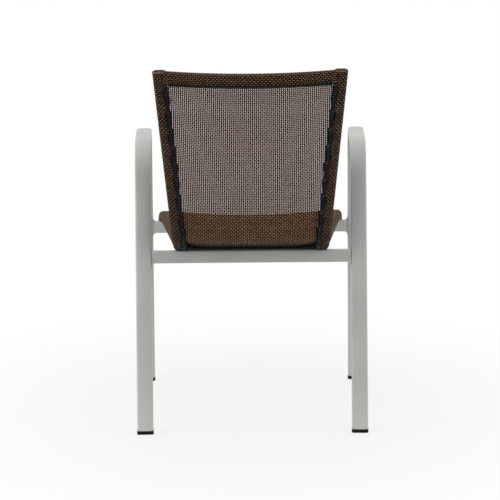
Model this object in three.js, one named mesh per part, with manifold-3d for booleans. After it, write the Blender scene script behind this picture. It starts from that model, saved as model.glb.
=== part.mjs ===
import * as THREE from 'three';
import Module from 'manifold-3d';
import { mergeVertices } from 'three/addons/utils/BufferGeometryUtils.js';

// Stacking patio armchair with a wrapped sling shell.
// Millimetres, +Z up. The sitter faces -Y, so the sitter's left hand is on the +X side.
// Below, "ahead" is the distance in front of the rear feet and "height" is the distance above the floor.

// Clearances and facets
const gap = 0.3;                 // between pieces that touch
const overrun = 2;               // how far a cutting solid runs past what it cuts
const mergeWithin = 0.03;        // corners left nearer than this by a cut are made one
const cornerFacets = 2;          // in each small corner
const ovalFacets = 3;            // in each quarter of a flat-oval or round tube
const wrapSteps = 2 * ovalFacets;  // of the cloth round a tube's side, in step with the tube's own facets
const bendFacets = 7;            // steps in the large bends
const lipFacets = 5;             // steps in the small bend at the seat's front
const roundSides = 12;           // sides of bolts, washers and round holes

// Side frames: one bent flat tube each, toed out towards the front
const legWidth = 38;
const legDepth = 20;
const legCorner = 4;
const legWall = 2;
const rearSpacing = 505.8;       // between the tubes' centres at the rear feet
const frontSpacing = 547.8;      // the same at the front feet
const footPitch = 500;           // from the back of the rear feet to the front of the front feet
const rearRake = THREE.MathUtils.degToRad(12);
const frontRake = THREE.MathUtils.degToRad(1.5);
const armHeight = 676;           // top of the arm where it leaves the rear bend
const armRise = THREE.MathUtils.degToRad(1.6);
const sideLean = THREE.MathUtils.degToRad(0.35);  // both side frames lean in towards their arms
const armBendRadius = 90;        // centre-line radius of both bends of a side frame

// Glides: black plastic feet pushed into the open ends of the legs
const glideHeight = 8.7;
const glideProud = 0.7;          // the glide is this much wider than the tube all round
const glideRound = 2.2;
const glideStem = 24;
const ribHeight = 1.6;
const ribPitch = 11;
const ribInset = 0.8;            // the stem between the ribs is this much slimmer

// Crossbars: welded between the legs, and the shell is bolted down on them
const barHeight = 30;
const barDepth = 15;
const barCorner = 3.5;
const barWall = 1.8;             // the shell's bolts bear up against it, inside the bar
const rearBarTop = 423.7;
const seatRise = 3.3;            // the front crossbar stands this much higher than the rear one
const frontBarTop = rearBarTop + seatRise;
const weldBead = 7;
const weldSideShare = 0.12;      // the bead grows this share as much to the front and back
const weldFacets = 3;

// Shell: a flat-oval tube bent into back, seat and front lip, one on each side
const railWidth = 28;
const railDepth = 18;
const railWall = 1.8;
const backLean = THREE.MathUtils.degToRad(14);
const heelBendRadius = 55;       // centre-line radius where the seat turns up into the back
const lipBendRadius = 32;
const lipTurn = THREE.MathUtils.degToRad(78);
const lipStraight = 14;
const crestOverhang = 26;        // the seat starts to turn down this far in front of the front crossbar
const shellTop = 862;            // top of the side rails' ends, cloth included
const rearShellClear = 53;       // between the shell's side and the legs, above the rear crossbar
const frontShellClear = 16;      // the same where the lip starts
const shellFlare = 36.5;         // the shell is this much wider, on each side, at its top than at the rear crossbar
const cloth = 1.4;

// Cross rails of the shell
const topDrop = 5;               // the top rail's upper edge is this far below the side rails' ends
const topBow = 30;               // the top rail swings back this far at its middle
const topDip = 5;                // and dips this far
const lumbarClear = 4.4;         // between the rear crossbar and the lumbar rail in front of it
const lumbarBow = 12;            // the lumbar rail drops this far below the side rails
const lumbarPower = 8;           // and does so near its ends, where the top rail bows evenly with a power of 2

// Sling: woven cloth wrapped round the rails
const tuck = THREE.MathUtils.degToRad(10);     // how far the wrapped edge goes round a rail's inner end
const liftOff = 3;               // the free panel starts this far inward of a rail's flat
const seatSag = 16;              // how far the seat's middle hangs below its two ends
const crestSag = 14;             // and the panel where the front lip starts
const rowPitch = 92;             // between the sheet's rows on the straights
const panelSteps = 10;
const boltHoleEase = 0.4;        // the hole in the cloth is this much wider than the bolt, all round

// Edge strips: black profiles with clips that hold the cloth's wrapped edge
const webThick = 0.9;            // of the strip between its clips
const clipThick = 2;
const clipPitch = 41;
const clipLength = 38;
const clipTurn = THREE.MathUtils.degToRad(115);
const clipStart = THREE.MathUtils.degToRad(3);
const clipFlange = 1.3;          // thickness of the flange that lies over the cloth
const clipRamp = 0.8;            // length over which a clip rises from the web
const clipClear = 1.2;           // kept free between a clip and a cross rail or crossbar
const clipSteps = 4;

// Shell bolts, one at each crossing of a side rail and a crossbar
const boltShank = 6;
const boltHead = 10;
const boltHeadHeight = 4;
const socketAcross = 4;
const socketDepth = 2.2;
const washerWidth = 10.6;
const washerThick = 1;
const nutWidth = 9;
const nutHeight = 12;

// Plugs in the ends of the side rails
const plugCap = 2.2;
const plugRound = 0.8;
const plugStem = 12;

const paint = { color: 0xa9aca4, roughness: 0.45, metalness: 0.35 };
const darkPaint = { color: 0x1a1716, roughness: 0.5, metalness: 0.3 };
const wovenCloth = { color: 0x4a3a2c, roughness: 0.8, metalness: 0 };
const blackPlastic = { color: 0x101113, roughness: 0.35, metalness: 0 };
const zincSteel = { color: 0xb9bcc0, roughness: 0.35, metalness: 0.9 };

const wasm = await Module();
wasm.setup();

function toSolid(geometry) {
  const bare = geometry.clone();
  bare.deleteAttribute('normal');
  bare.deleteAttribute('uv');
  const merged = mergeVertices(bare);
  const vertProperties = new Float32Array(merged.attributes.position.array);
  const triVerts = new Uint32Array(merged.index.array);
  return new wasm.Manifold(new wasm.Mesh({ numProp: 3, vertProperties, triVerts }));
}

function toGeometry(solid) {
  const mesh = solid.simplify(mergeWithin).getMesh();
  const geometry = new THREE.BufferGeometry();
  geometry.setAttribute('position', new THREE.BufferAttribute(mesh.vertProperties, mesh.numProp));
  geometry.setIndex(new THREE.BufferAttribute(mesh.triVerts, 1));
  return geometry;
}

const without = (base, ...cutters) =>
  toGeometry(cutters.reduce((solid, cutter) => solid.subtract(toSolid(cutter)), toSolid(base)));
const joined = (base, ...others) =>
  toGeometry(others.reduce((solid, other) => solid.add(toSolid(other)), toSolid(base)));

function roundedRectangle(width, height, corner, facets = cornerFacets) {
  const corners = [[1, 1], [-1, 1], [-1, -1], [1, -1]];
  const points = corners.flatMap(([right, up], quarter) => Array.from({ length: facets + 1 }, (_, i) => {
    const angle = Math.PI / 2 * (quarter + i / facets);
    return new THREE.Vector2(
      right * (width / 2 - corner) + corner * Math.cos(angle),
      up * (height / 2 - corner) + corner * Math.sin(angle),
    );
  }));
  const apart = (a, b) => a.distanceTo(b) > gap / 10;
  return new THREE.Shape(points.filter((point, i) => apart(point, points[(i + 1) % points.length])));
}

const flatOval = (width, height) => roundedRectangle(width, height, height / 2, ovalFacets);

// A path through given stations. The sections keep one side direction, as a tube bent in one plane does.
class StationPath extends THREE.Curve {
  constructor(points, side, tangents) {
    super();
    this.points = points;
    this.side = side;
    this.tangents = tangents;
  }

  getPointAt(share, target = new THREE.Vector3()) {
    return target.copy(this.points[Math.round(share * (this.points.length - 1))]);
  }

  computeFrenetFrames() {
    const normals = this.points.map(() => this.side.clone());
    const binormals = this.tangents.map((tangent) => tangent.clone().cross(this.side).normalize());
    return { tangents: this.tangents, normals, binormals };
  }
}

function sweep(shape, points, side, tangents) {
  return new THREE.ExtrudeGeometry(shape, {
    steps: points.length - 1,
    extrudePath: new StationPath(points, side, tangents),
  });
}

// A polyline in the side view with its corners rounded to arcs.
// Each station holds its place and the angle of the path there, counted up from straight ahead.
function roundedPath(corners, radii, facets, straightSteps) {
  const heading = (a, b) => Math.atan2(b.y - a.y, b.x - a.x);
  const stations = [];
  const addStraight = (from, to, angle, steps) => {
    for (let i = 0; i <= steps; i += 1) {
      const place = from.clone().lerp(to, i / steps);
      stations.push({ ahead: place.x, height: place.y, angle });
    }
  };
  let start = corners[0];
  for (let i = 1; i < corners.length; i += 1) {
    const inward = heading(corners[i - 1], corners[i]);
    if (i === corners.length - 1) {
      addStraight(start, corners[i], inward, straightSteps[i - 1]);
      break;
    }
    const outward = heading(corners[i], corners[i + 1]);
    const turn = Math.atan2(Math.sin(outward - inward), Math.cos(outward - inward));
    const radius = radii[i - 1];
    const reach = radius * Math.tan(Math.abs(turn) / 2);
    const along = new THREE.Vector2(Math.cos(inward), Math.sin(inward));
    const bendStart = corners[i].clone().addScaledVector(along, -reach);
    addStraight(start, bendStart, inward, straightSteps[i - 1]);
    const left = Math.sign(turn);
    const centre = bendStart.clone().add(new THREE.Vector2(-along.y, along.x).multiplyScalar(radius * left));
    for (let step = 1; step < facets[i - 1]; step += 1) {
      const angle = inward + turn * step / facets[i - 1];
      const place = new THREE.Vector2(Math.sin(angle), -Math.cos(angle)).multiplyScalar(radius * left);
      place.add(centre);
      stations.push({ ahead: place.x, height: place.y, angle });
    }
    const leaving = new THREE.Vector2(Math.cos(outward), Math.sin(outward));
    start = corners[i].clone().addScaledVector(leaving, reach);
  }
  return stations;
}

// Where two lines of the side view cross, each given by a point and an angle
function crossing(pointA, angleA, pointB, angleB) {
  const a = new THREE.Vector2(Math.cos(angleA), Math.sin(angleA));
  const b = new THREE.Vector2(Math.cos(angleB), Math.sin(angleB));
  const offset = pointB.clone().sub(pointA);
  const along = offset.cross(b) / a.cross(b);
  return pointA.clone().addScaledVector(a, along);
}

// Places in the chair's own space: ahead runs towards -Y
const place = (x, ahead, height) => new THREE.Vector3(x, -ahead, height);
const direction = (angle) => new THREE.Vector3(0, -Math.cos(angle), Math.sin(angle));
const sideways = new THREE.Vector3(1, 0, 0);
const sweepAlong = (shape, stations, xOf) => sweep(
  shape,
  stations.map((station) => place(xOf(station), station.ahead, station.height)),
  sideways,
  stations.map((station) => direction(station.angle)),
);

// A closed sheet between two grids of points, its rows and columns the same in both
function thickSheet(outer, inner) {
  const rows = outer.length;
  const columns = outer[0].length;
  const positions = [...outer.flat(), ...inner.flat()].flatMap((point) => point.toArray());
  const top = (row, column) => row * columns + column;
  const under = (row, column) => rows * columns + row * columns + column;
  const faces = [];
  const quad = (a, b, c, d) => faces.push(a, b, c, a, c, d);
  for (let row = 0; row < rows - 1; row += 1) {
    for (let column = 0; column < columns - 1; column += 1) {
      quad(top(row, column), top(row + 1, column), top(row + 1, column + 1), top(row, column + 1));
      quad(under(row, column), under(row, column + 1), under(row + 1, column + 1), under(row + 1, column));
    }
    quad(top(row + 1, 0), top(row, 0), under(row, 0), under(row + 1, 0));
    const last = columns - 1;
    quad(top(row, last), top(row + 1, last), under(row + 1, last), under(row, last));
  }
  for (let column = 0; column < columns - 1; column += 1) {
    quad(top(0, column), top(0, column + 1), under(0, column + 1), under(0, column));
    const last = rows - 1;
    quad(top(last, column + 1), top(last, column), under(last, column), under(last, column + 1));
  }
  const geometry = new THREE.BufferGeometry();
  geometry.setAttribute('position', new THREE.Float32BufferAttribute(positions, 3));
  geometry.setIndex(faces);
  return facingOut(geometry);
}

// A closed skin through rings of the same count. The cap is the outline that the two end rings follow
function loft(rings, cap) {
  const count = rings[0].length;
  const positions = rings.flat().flatMap((point) => point.toArray());
  const faces = [];
  for (let ring = 0; ring < rings.length - 1; ring += 1) {
    for (let i = 0; i < count; i += 1) {
      const next = (i + 1) % count;
      const [a, b] = [ring * count + i, ring * count + next];
      faces.push(a, a + count, b + count, a, b + count, b);
    }
  }
  const last = (rings.length - 1) * count;
  const outline = cap.getPoints().slice(0, count);
  const turned = THREE.ShapeUtils.isClockWise(outline) ? -1 : 1;
  THREE.ShapeUtils.triangulateShape(outline, []).forEach(([a, b, c]) => {
    const [p, q, r] = [a, b, c].map((i) => outline[i]);
    const area = (q.x - p.x) * (r.y - p.y) - (r.x - p.x) * (q.y - p.y);
    const face = area * turned > 0 ? [a, b, c] : [a, c, b];
    faces.push(...face, ...face.map((i) => i + last).reverse());
  });
  const geometry = new THREE.BufferGeometry();
  geometry.setAttribute('position', new THREE.Float32BufferAttribute(positions, 3));
  geometry.setIndex(faces);
  return facingOut(geometry);
}

function facingOut(geometry) {
  const { position } = geometry.attributes;
  const { array } = geometry.index;
  const corner = (i) => new THREE.Vector3().fromBufferAttribute(position, array[i]);
  let volume = 0;
  for (let i = 0; i < array.length; i += 3) {
    volume += corner(i).dot(corner(i + 1).cross(corner(i + 2)));
  }
  if (volume < 0) {
    for (let i = 0; i < array.length; i += 3) {
      [array[i], array[i + 1]] = [array[i + 1], array[i]];
    }
  }
  return geometry;
}

// A capped insert for a tube's open end: the cap hangs below the origin and the ribbed stem stands above it
function capInsert(size) {
  const cap = new THREE.ExtrudeGeometry(
    roundedRectangle(size.capWidth - 2 * size.round, size.capDepth - 2 * size.round, size.capCorner - size.round),
    {
      depth: size.capHeight - size.round,
      bevelThickness: size.round,
      bevelSize: size.round,
      bevelSegments: 2,
    },
  );
  // the bevel is wanted on the outer end only, so the other one is cut off flat
  cap.translate(0, 0, -size.capHeight + size.round);
  const trimmer = new THREE.BoxGeometry(size.capWidth * 2, size.capDepth * 2, size.capHeight);
  trimmer.translate(0, 0, size.capHeight / 2);
  const boreWidth = size.stemWidth;
  const boreDepth = size.stemDepth;
  const slim = roundedRectangle(boreWidth - 2 * size.ribInset, boreDepth - 2 * size.ribInset, size.stemCorner);
  const stem = new THREE.ExtrudeGeometry(slim, {
    depth: size.stemLength + size.capHeight / 2,
    bevelEnabled: false,
  });
  stem.translate(0, 0, -size.capHeight / 2);
  const ribs = [];
  for (let z = size.ribPitch; z < size.stemLength - size.ribHeight; z += size.ribPitch) {
    const rib = new THREE.ExtrudeGeometry(roundedRectangle(boreWidth, boreDepth, size.stemCorner), {
      depth: size.ribHeight,
      bevelEnabled: false,
      });
    ribs.push(rib.translate(0, 0, z));
  }
  return joined(without(cap, trimmer), stem, ...ribs);
}

// The socket that such an insert's stem goes into
function socketCutter(width, depth, corner, length) {
  const cutter = new THREE.ExtrudeGeometry(roundedRectangle(width, depth, corner), {
    depth: length + overrun,
    bevelEnabled: false,
  });
  return cutter.translate(0, 0, -overrun);
}

const chair = new THREE.Group();

function addPiece(parent, name, geometry, finish) {
  const mesh = new THREE.Mesh(geometry, new THREE.MeshStandardMaterial(finish));
  mesh.name = name;
  parent.add(mesh);
  return mesh;
}

// Side frames

const toeOut = Math.atan2((frontSpacing - rearSpacing) / 2, footPitch);
const rearLegAngle = Math.PI / 2 - rearRake;
const frontLegAngle = Math.PI / 2 + frontRake;
const rearLegFoot = new THREE.Vector2(legDepth / 2 / Math.cos(rearRake), 0);
const frontLegFoot = new THREE.Vector2(footPitch - legDepth / 2 / Math.cos(frontRake), 0);
const rearLegAhead = (height) => rearLegFoot.x + height * Math.tan(rearRake);
const frontLegAhead = (height) => frontLegFoot.x - height * Math.tan(frontRake);
const tubeCentre = (ahead) => rearSpacing / 2 + ahead * Math.tan(toeOut);
const leanShift = (height) => Math.tan(sideLean) * Math.max(0, height - glideHeight);
const legInside = (ahead, height) => tubeCentre(ahead) - legWidth / 2 / Math.cos(toeOut) - leanShift(height);

const armCentre = armHeight - legDepth / 2 / Math.cos(armRise);
const armStart = new THREE.Vector2(rearLegAhead(armCentre) + armBendRadius * Math.cos(rearRake), armCentre);
const footTrim = glideHeight + gap;

function sideFramePath() {
  const below = -legDepth;
  const corners = [
    new THREE.Vector2(rearLegAhead(below), below),
    crossing(rearLegFoot, rearLegAngle, armStart, armRise),
    crossing(frontLegFoot, frontLegAngle, armStart, armRise),
    new THREE.Vector2(frontLegAhead(below), below),
  ];
  return roundedPath(corners, [armBendRadius, armBendRadius], [bendFacets, bendFacets], [1, 1, 1]);
}

// Leans a piece that stands upright on the floor line to follow a leg's rake
function lean(geometry, footAhead, slope) {
  const shear = new THREE.Matrix4().makeShear(0, 0, 0, 0, 0, -slope);
  return geometry.applyMatrix4(shear).translate(0, -footAhead, 0);
}

// Leans a side frame's pieces inward above the glides' caps, which stay level on the floor
function leanIn(geometry, side) {
  const { position } = geometry.attributes;
  for (let i = 0; i < position.count; i += 1) {
    position.setX(i, position.getX(i) - side * leanShift(position.getZ(i)));
  }
  return geometry;
}

const legs = [
  { end: 'rear', footAhead: rearLegFoot.x, slope: Math.tan(rearRake), rake: rearRake },
  { end: 'front', footAhead: frontLegFoot.x, slope: -Math.tan(frontRake), rake: frontRake },
];

function glideGeometry(leg) {
  const boreWidth = legWidth - 2 * legWall;
  const boreDepth = legDepth / Math.cos(leg.rake) - 2 * legWall;
  const glide = capInsert({
    capWidth: legWidth + 2 * glideProud,
    capDepth: legDepth / Math.cos(leg.rake) + 2 * glideProud,
    capCorner: legCorner + glideProud,
    capHeight: glideHeight,
    round: glideRound,
    stemWidth: boreWidth - 2 * gap,
    stemDepth: boreDepth - 2 * gap,
    stemCorner: legCorner - legWall,
    stemLength: glideStem,
    ribInset,
    ribHeight,
    ribPitch,
  });
  glide.translate(0, 0, glideHeight);
  return glide;
}

function addSide(side, sideName) {
  const group = new THREE.Group();
  group.position.x = side * rearSpacing / 2;
  group.rotation.z = side * toeOut;
  chair.add(group);

  const stations = sideFramePath();
  const tube = sweepAlong(roundedRectangle(legWidth, legDepth, legCorner), stations, () => 0);
  const floorCut = new THREE.BoxGeometry(legWidth * 2, footPitch * 2, legWidth * 2);
  floorCut.translate(0, -footPitch / 2, footTrim - legWidth);
  const sockets = legs.map((leg) => {
    const depth = legDepth / Math.cos(leg.rake) - 2 * legWall;
    const socket = socketCutter(legWidth - 2 * legWall, depth, legCorner - legWall, glideStem + overrun);
    socket.translate(0, 0, footTrim);
    return lean(socket, leg.footAhead, leg.slope);
  });
  addPiece(group, `${sideName}_side_frame`, leanIn(without(tube, floorCut, ...sockets), side), paint);

  legs.forEach((leg) => {
    const glide = glideGeometry(leg);
    // the cap stays square on the floor and only the stem leans with the leg
    const { position } = glide.attributes;
    for (let i = 0; i < position.count; i += 1) {
      const height = position.getZ(i);
      const rise = Math.max(height, glideHeight);
      position.setY(i, position.getY(i) - leg.footAhead - rise * leg.slope);
    }
    addPiece(group, `${leg.end}_${sideName}_glide`, leanIn(glide, side), blackPlastic);
  });
}

addSide(1, 'left');
addSide(-1, 'right');

// Shell path, from the top of the back down to the seat's front lip

const railSeat = gap + cloth + gap + railDepth / 2;
const rearBarAhead = rearLegAhead(rearBarTop - barHeight / 2);
const frontBarAhead = frontLegAhead(frontBarTop - barHeight / 2);
const lumbarAhead = rearBarAhead + barDepth / 2 + lumbarClear + railDepth / 2;
const seatAngle = Math.atan2(frontBarTop - rearBarTop, frontBarAhead - rearBarAhead);
const seatPoint = new THREE.Vector2(rearBarAhead, rearBarTop + railSeat);
const seatHeight = (ahead) => seatPoint.y + (ahead - seatPoint.x) * Math.tan(seatAngle);
const backAngle = -(Math.PI / 2 - backLean);
const heelTurn = seatAngle - backAngle;
const heel = seatPoint.clone().addScaledVector(
  new THREE.Vector2(Math.cos(seatAngle), Math.sin(seatAngle)),
  -heelBendRadius * Math.tan(heelTurn / 2),
);
const lipAngle = seatAngle - lipTurn;
const crestReach = frontBarAhead + crestOverhang;
const crest = new THREE.Vector2(crestReach, seatHeight(crestReach));
const lipCorner = crest.clone().addScaledVector(
  new THREE.Vector2(Math.cos(seatAngle), Math.sin(seatAngle)),
  lipBendRadius * Math.tan(lipTurn / 2),
);
const lipEnd = lipCorner.clone().addScaledVector(
  new THREE.Vector2(Math.cos(lipAngle), Math.sin(lipAngle)),
  lipBendRadius * Math.tan(lipTurn / 2) + lipStraight,
);
const railTopHeight = shellTop - cloth - gap - plugCap;
const backAhead = (height) => heel.x - (height - heel.y) * Math.tan(backLean);
const backTop = new THREE.Vector2(backAhead(railTopHeight), railTopHeight);

const wrapOut = railWidth / 2 + gap + cloth;
const railHalfHeel = legInside(rearBarAhead, rearBarTop) - rearShellClear - wrapOut;
const railHalfTop = railHalfHeel + shellFlare;
const railHalfCrest = legInside(crest.x, crest.y) - frontShellClear - wrapOut;

// Half the distance between the side rails' centre lines: widening up the back and towards the front
function railHalf(station) {
  if (station.ahead > seatPoint.x) {
    return railHalfHeel + (railHalfCrest - railHalfHeel) * (station.ahead - seatPoint.x) / (crest.x - seatPoint.x);
  }
  const rise = (station.height - seatPoint.y) / (backTop.y - seatPoint.y);
  return railHalfHeel + (railHalfTop - railHalfHeel) * rise;
}

const shellPath = (straightSteps) => roundedPath(
  [backTop, heel, lipCorner, lipEnd],
  [heelBendRadius, lipBendRadius],
  [bendFacets, lipFacets],
  straightSteps,
);

const upBack = new THREE.Vector3(0, Math.sin(backLean), Math.cos(backLean));
const toSitter = (station) => new THREE.Vector3(0, Math.sin(station.angle), Math.cos(station.angle));

// Side rails

const railShape = flatOval(railWidth, railDepth);
const railClearance = flatOval(railWidth + 2 * gap, railDepth + 2 * gap);
const railStations = shellPath([1, 1, 1]);
const railGeometry = (side, shape) => sweepAlong(shape, railStations, (station) => side * railHalf(station));

const boltPlaces = [
  { ahead: rearBarAhead, barTop: rearBarTop },
  { ahead: frontBarAhead, barTop: frontBarTop },
].map((spot) => ({ ...spot, half: railHalf({ ahead: spot.ahead, height: seatHeight(spot.ahead) }) }));

function uprightCylinder(radius, low, high) {
  const cylinder = new THREE.CylinderGeometry(radius, radius, high - low, roundSides);
  cylinder.rotateX(Math.PI / 2);
  return cylinder.translate(0, 0, (low + high) / 2);
}

const nutLow = (spot) => spot.barTop + gap + cloth + 2 * gap;
const nutHigh = (spot) => nutLow(spot) + nutHeight;

const plugSize = {
  capWidth: railWidth,
  capDepth: railDepth,
  capCorner: railDepth / 2 - gap,
  capHeight: plugCap,
  round: plugRound,
  stemWidth: railWidth - 2 * railWall - 2 * gap,
  stemDepth: railDepth - 2 * railWall - 2 * gap,
  stemCorner: railDepth / 2 - railWall - ribInset - gap,
  stemLength: plugStem,
  ribInset,
  ribHeight,
  ribPitch,
};

// Turns a piece whose axis is +Z so that the axis runs along the shell path, into the rail
function atRailEnd(geometry, side, station, inward) {
  const axis = direction(station.angle).multiplyScalar(inward);
  const across = sideways.clone();
  const third = axis.clone().cross(across);
  const turned = new THREE.Matrix4().makeBasis(across, third, axis);
  geometry.applyMatrix4(turned);
  return geometry.translate(side * railHalf(station), -station.ahead, station.height);
}

const railEnds = [
  { name: 'top', station: railStations[0], inward: 1 },
  { name: 'lip', station: railStations[railStations.length - 1], inward: -1 },
];

function addRail(side, sideName) {
  const nutHoles = boltPlaces.map((spot) => uprightCylinder(
    nutWidth / 2 + gap,
    nutLow(spot) - overrun,
    nutHigh(spot) + gap,
  ).translate(side * spot.half, -spot.ahead, 0));
  const sockets = railEnds.map((end) => atRailEnd(
    socketCutter(
      railWidth - 2 * railWall,
      railDepth - 2 * railWall,
      railDepth / 2 - railWall - gap,
      plugStem + overrun,
    ),
    side,
    end.station,
    end.inward,
  ));
  addPiece(chair, `${sideName}_shell_rail`, without(railGeometry(side, railShape), ...nutHoles, ...sockets), darkPaint);
  railEnds.forEach((end) => {
    const plug = capInsert(plugSize).translate(0, 0, -gap);
    addPiece(chair, `${sideName}_${end.name}_plug`, atRailEnd(plug, side, end.station, end.inward), blackPlastic);
  });
}

addRail(1, 'left');
addRail(-1, 'right');

// Places along the shell path, as lengths from the top of the rails

const track = railStations.map((station, i) => {
  let length = 0;
  for (let k = 1; k <= i; k += 1) {
    length += Math.hypot(
      railStations[k].ahead - railStations[k - 1].ahead,
      railStations[k].height - railStations[k - 1].height,
    );
  }
  return { ...station, length };
});
const trackLength = track[track.length - 1].length;

function stationAt(length) {
  let k = 1;
  while (k < track.length - 1 && track[k].length < length) {
    k += 1;
  }
  const share = (length - track[k - 1].length) / (track[k].length - track[k - 1].length);
  const between = (key) => track[k - 1][key] + (track[k][key] - track[k - 1][key]) * share;
  return { ahead: between('ahead'), height: between('height'), angle: between('angle'), length };
}

// Stations between two lengths, the track's own ones included, with none farther apart than the pitch
function stretch(from, to, pitch) {
  const marks = [from, ...track.map((s) => s.length).filter((l) => l > from + gap && l < to - gap), to];
  return marks.flatMap((mark, i) => {
    if (i === 0) {
      return [stationAt(mark)];
    }
    const pieces = Math.ceil((mark - marks[i - 1]) / pitch);
    return Array.from({ length: pieces }, (_, k) => stationAt(marks[i - 1] + (mark - marks[i - 1]) * (k + 1) / pieces));
  });
}

const lengthWhere = (matches) => {
  const k = track.findIndex((station, i) => i > 0 && matches(station));
  let low = track[k - 1].length;
  let high = track[k].length;
  while (high - low > gap / 100) {
    const middle = (low + high) / 2;
    if (matches(stationAt(middle))) {
      high = middle;
    } else {
      low = middle;
    }
  }
  return (low + high) / 2;
};
const lengthAtHeight = (height) => lengthWhere((station) => station.height <= height);
const lengthAtAhead = (ahead) => lengthWhere((station) => station.length > trackLength / 3 && station.ahead >= ahead);

// Cross rails: each is coped at its ends to the round inner sides of the side rails

const railFlat = (railWidth - railDepth) / 2;
const copers = [1, -1].map((side) => railGeometry(side, railClearance));
const easing = (share, power = 2) => Math.max(0, 1 - Math.abs(share) ** power);
const panelHalf = (station) => railHalf(station) - railFlat - liftOff;

const topCentreHeight = shellTop - cloth - gap - topDrop - railWidth / 2 * Math.cos(backLean);
const topStation = stationAt(lengthAtHeight(topCentreHeight));
const lumbarStation = stationAt(lengthAtAhead(lumbarAhead));
const frontStation = stationAt(trackLength - lipStraight + gap);

// The three cross rails, with how far each swings away from the sitter and how far it dips at its middle
const topRail = { station: topStation, back: topBow, dip: topDip, power: 2, steps: panelSteps };
const lumbarRail = { station: lumbarStation, back: 0, dip: lumbarBow, power: lumbarPower, steps: panelSteps };
const frontRail = { station: frontStation, back: 0, dip: 0, power: 2, steps: 2 };
const sagOf = (rail) => rail.back * Math.sin(-rail.station.angle) + rail.dip * Math.cos(rail.station.angle);

const upFrom = (station) => new THREE.Vector3(0, Math.cos(station.angle), -Math.sin(station.angle));

function acrossShell(rail, shape, half) {
  const free = panelHalf(rail.station);
  const inner = Array.from({ length: rail.steps + 1 }, (_, i) => free * (2 * i / rail.steps - 1));
  const points = [-half, ...inner.filter((x) => Math.abs(x) < half - gap), half].map((x) => {
    const bow = easing(x / free, rail.power);
    return place(x, rail.station.ahead - rail.back * bow, rail.station.height - rail.dip * bow);
  });
  return sweep(shape, points, upFrom(rail.station), points.map(() => sideways.clone()));
}

const reachIntoRail = (rail) => railHalf(rail.station) - railFlat;

function addCrossRail(name, rail, shape) {
  addPiece(chair, name, without(acrossShell(rail, shape, reachIntoRail(rail)), ...copers), darkPaint);
}

const roundTube = flatOval(railDepth, railDepth);
addCrossRail('top_rail', topRail, railShape);
addCrossRail('lumbar_rail', lumbarRail, roundTube);
addCrossRail('front_rail', frontRail, roundTube);

// Sling: the section of the cloth across the shell, from one wrapped edge to the other

const clothRadius = railDepth / 2 + gap + cloth / 2;

// One side's wrap, seen with the outer side at +u and the sitter at +v
function wrapColumns() {
  const columns = [];
  const add = (u, v, nu, nv) => columns.push({ u, v, nu, nv });
  add(-railFlat - clothRadius * Math.sin(tuck), -clothRadius * Math.cos(tuck), -Math.sin(tuck), -Math.cos(tuck));
  add(-railFlat, -clothRadius, 0, -1);
  for (let i = 0; i <= wrapSteps; i += 1) {
    const angle = Math.PI * (i / wrapSteps - 1 / 2);
    add(railFlat + clothRadius * Math.cos(angle), clothRadius * Math.sin(angle), Math.cos(angle), Math.sin(angle));
  }
  add(-railFlat, clothRadius, 0, 1);
  return columns;
}

const wrap = wrapColumns();

function clothPoint(station, x, v, normalX, normalV, offset) {
  const at = place(x + normalX * offset, station.ahead, station.height);
  return at.addScaledVector(toSitter(station), v + normalV * offset);
}

function wrapRow(station, side, offset) {
  const half = railHalf(station);
  const row = wrap.map((c) => clothPoint(station, side * (half + c.u), c.v, side * c.nu, c.nv, offset));
  row.push(clothPoint(station, side * panelHalf(station), clothRadius, 0, 1, offset));
  return side > 0 ? row : row.reverse();
}

const mix = (a, b, share) => a + (b - a) * share;

// The free panel's sag has the top rail's even bow, or the lumbar rail's flatter one, or some of both
function fullRow(station, sag, offset) {
  const half = panelHalf(station);
  const panel = [];
  for (let i = 1; i < panelSteps; i += 1) {
    const share = 1 - 2 * i / panelSteps;
    const bow = mix(easing(share), easing(share, lumbarPower), sag.flat);
    const slope = sag.depth / half * mix(2 * share, lumbarPower * share ** (lumbarPower - 1), sag.flat);
    const long = Math.hypot(1, slope);
    panel.push(clothPoint(station, share * half, clothRadius - sag.depth * bow, -slope / long, 1 / long, offset));
  }
  return [...wrapRow(station, 1, offset), ...panel, ...wrapRow(station, -1, offset)];
}

const bothFaces = (row) => [cloth / 2, -cloth / 2].map(row);
function slingBody(stations, sagAt) {
  const [outer, inner] = bothFaces((offset) => stations.map((station) => fullRow(station, sagAt(station), offset)));
  return thickSheet(outer, inner);
}

function sideWrap(stations, side) {
  const [outer, inner] = bothFaces((offset) => stations.map((station) => wrapRow(station, side, offset)));
  return thickSheet(outer, inner);
}

// A strip of cloth bent round a cross rail. The flat is half of the rail's flat, and the outline
// runs from the sitter's side round the far end to the back, where it is tucked like the side wraps.
function roundWrapShape(flat, farSide, startAt) {
  const outline = (radius, end) => {
    const points = [[startAt, radius]];
    points.push([farSide * flat, radius]);
    for (let i = 1; i <= wrapSteps; i += 1) {
      const angle = Math.PI * (1 / 2 - i / wrapSteps);
      points.push([farSide * (flat + radius * Math.cos(angle)), radius * Math.sin(angle)]);
    }
    points.push([-farSide * flat, -radius]);
    points.push([-farSide * (flat + radius * Math.sin(end)), -radius * Math.cos(end)]);
    return points.filter(([x, y], k) => k === 0 || Math.hypot(x - points[k - 1][0], y - points[k - 1][1]) > gap);
  };
  const outer = outline(clothRadius + cloth / 2, tuck);
  const inner = outline(clothRadius - cloth / 2, tuck);
  const ring = [...outer, ...inner.reverse()].map(([x, y]) => new THREE.Vector2(x, y));
  return new THREE.Shape(ring);
}

const smooth = (share) => (1 - Math.cos(Math.PI * share)) / 2;
const seamFrom = lumbarStation.length - gap / 2;
const seamTo = lumbarStation.length + gap / 2;
const crestLength = lengthAtAhead(crestReach);

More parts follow.
